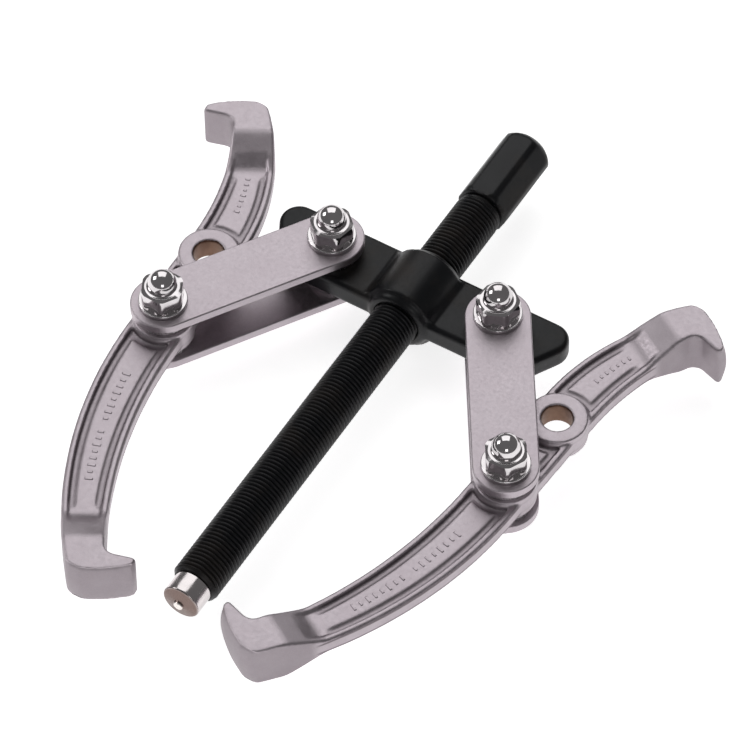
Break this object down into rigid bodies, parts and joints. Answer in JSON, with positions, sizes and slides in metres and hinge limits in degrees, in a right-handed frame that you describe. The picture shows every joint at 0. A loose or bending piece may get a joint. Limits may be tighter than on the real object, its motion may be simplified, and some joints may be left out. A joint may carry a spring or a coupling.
{
  "type": "gear puller",
  "caption": "Reversible gear puller with twin hooked jaws hung on double links from a yoke, and a fine-threaded forcing screw with a hexagon end.",
  "frame": {"origin": "middle of the pressing tip's end face, on the forcing screw's axis", "axes": "+Y up the screw towards its hexagon, +X along the yoke, +Z out of the flat of the tool on the dome-nut side"},
  "size_m": [0.1971, 0.2248, 0.0415],
  "materials": {
    "satin_plated_steel": "satin plating over blasted forgings",
    "black_oxide_steel": "oiled black oxide",
    "zinc_plated_fasteners": "bright plating",
    "polished_tip": "polished and plated",
    "spring_steel": "plain spring steel"
  },
  "bodies": {
    "yoke": {"yoke": "black_oxide_steel", "left_yoke_bolt": "zinc_plated_fasteners", "left_yoke_dome_nut": "zinc_plated_fasteners", "left_yoke_washer": "zinc_plated_fasteners", "left_yoke_spacer_upper": "zinc_plated_fasteners", "left_yoke_spacer_lower": "zinc_plated_fasteners", "right_yoke_bolt": "zinc_plated_fasteners", "right_yoke_dome_nut": "zinc_plated_fasteners", "right_yoke_washer": "zinc_plated_fasteners", "right_yoke_spacer_upper": "zinc_plated_fasteners", "right_yoke_spacer_lower": "zinc_plated_fasteners"},
    "left_links": {"left_link_upper": "satin_plated_steel", "left_link_lower": "satin_plated_steel", "left_jaw_bolt": "zinc_plated_fasteners", "left_jaw_dome_nut": "zinc_plated_fasteners", "left_jaw_washer": "zinc_plated_fasteners", "left_jaw_spacer_upper": "zinc_plated_fasteners", "left_jaw_spacer_lower": "zinc_plated_fasteners"},
    "right_links": {"right_link_upper": "satin_plated_steel", "right_link_lower": "satin_plated_steel", "right_jaw_bolt": "zinc_plated_fasteners", "right_jaw_dome_nut": "zinc_plated_fasteners", "right_jaw_washer": "zinc_plated_fasteners", "right_jaw_spacer_upper": "zinc_plated_fasteners", "right_jaw_spacer_lower": "zinc_plated_fasteners"},
    "left_jaw": {"left_jaw": "satin_plated_steel"},
    "right_jaw": {"right_jaw": "satin_plated_steel"},
    "forcing_screw": {"forcing_screw": "black_oxide_steel"},
    "screw_tip": {"screw_tip": "polished_tip", "tip_snap_ring": "spring_steel"}
  },
  "joints": [
    {"name": "left_link_swing", "type": "hinge", "parent": "yoke", "child": "left_links", "pos_m": [-0.03115, 0.143, 0], "axis": [0, 0, -1], "range_deg": [-5, 50]},
    {"name": "left_jaw_swing", "type": "hinge", "parent": "left_links", "child": "left_jaw", "pos_m": [-0.06383, 0.09268, 0], "axis": [0, 0, -1], "range_deg": [-50, 5]},
    {"name": "right_link_swing", "type": "hinge", "parent": "yoke", "child": "right_links", "pos_m": [0.03115, 0.143, 0], "axis": [0, 0, 1], "range_deg": [-5, 50]},
    {"name": "right_jaw_swing", "type": "hinge", "parent": "right_links", "child": "right_jaw", "pos_m": [0.06383, 0.09268, 0], "axis": [0, 0, 1], "range_deg": [-50, 5]},
    {"name": "screw_travel", "type": "slide", "parent": "yoke", "child": "screw_tip", "axis": [0, -1, 0], "range_m": [-0.114, 0.027]},
    {"name": "screw_turn", "type": "hinge", "parent": "screw_tip", "child": "forcing_screw", "pos_m": [0, 0.0094, 0], "axis": [0, -1, 0], "range_deg": [-27540, 6660]}
  ],
  "couplings": [
    {"joint": "left_jaw_swing", "follows": "left_link_swing", "ratio": -1},
    {"joint": "right_jaw_swing", "follows": "right_link_swing", "ratio": -1},
    {"joint": "screw_turn", "follows": "screw_travel", "rad_per_m": 4188.8}
  ]
}
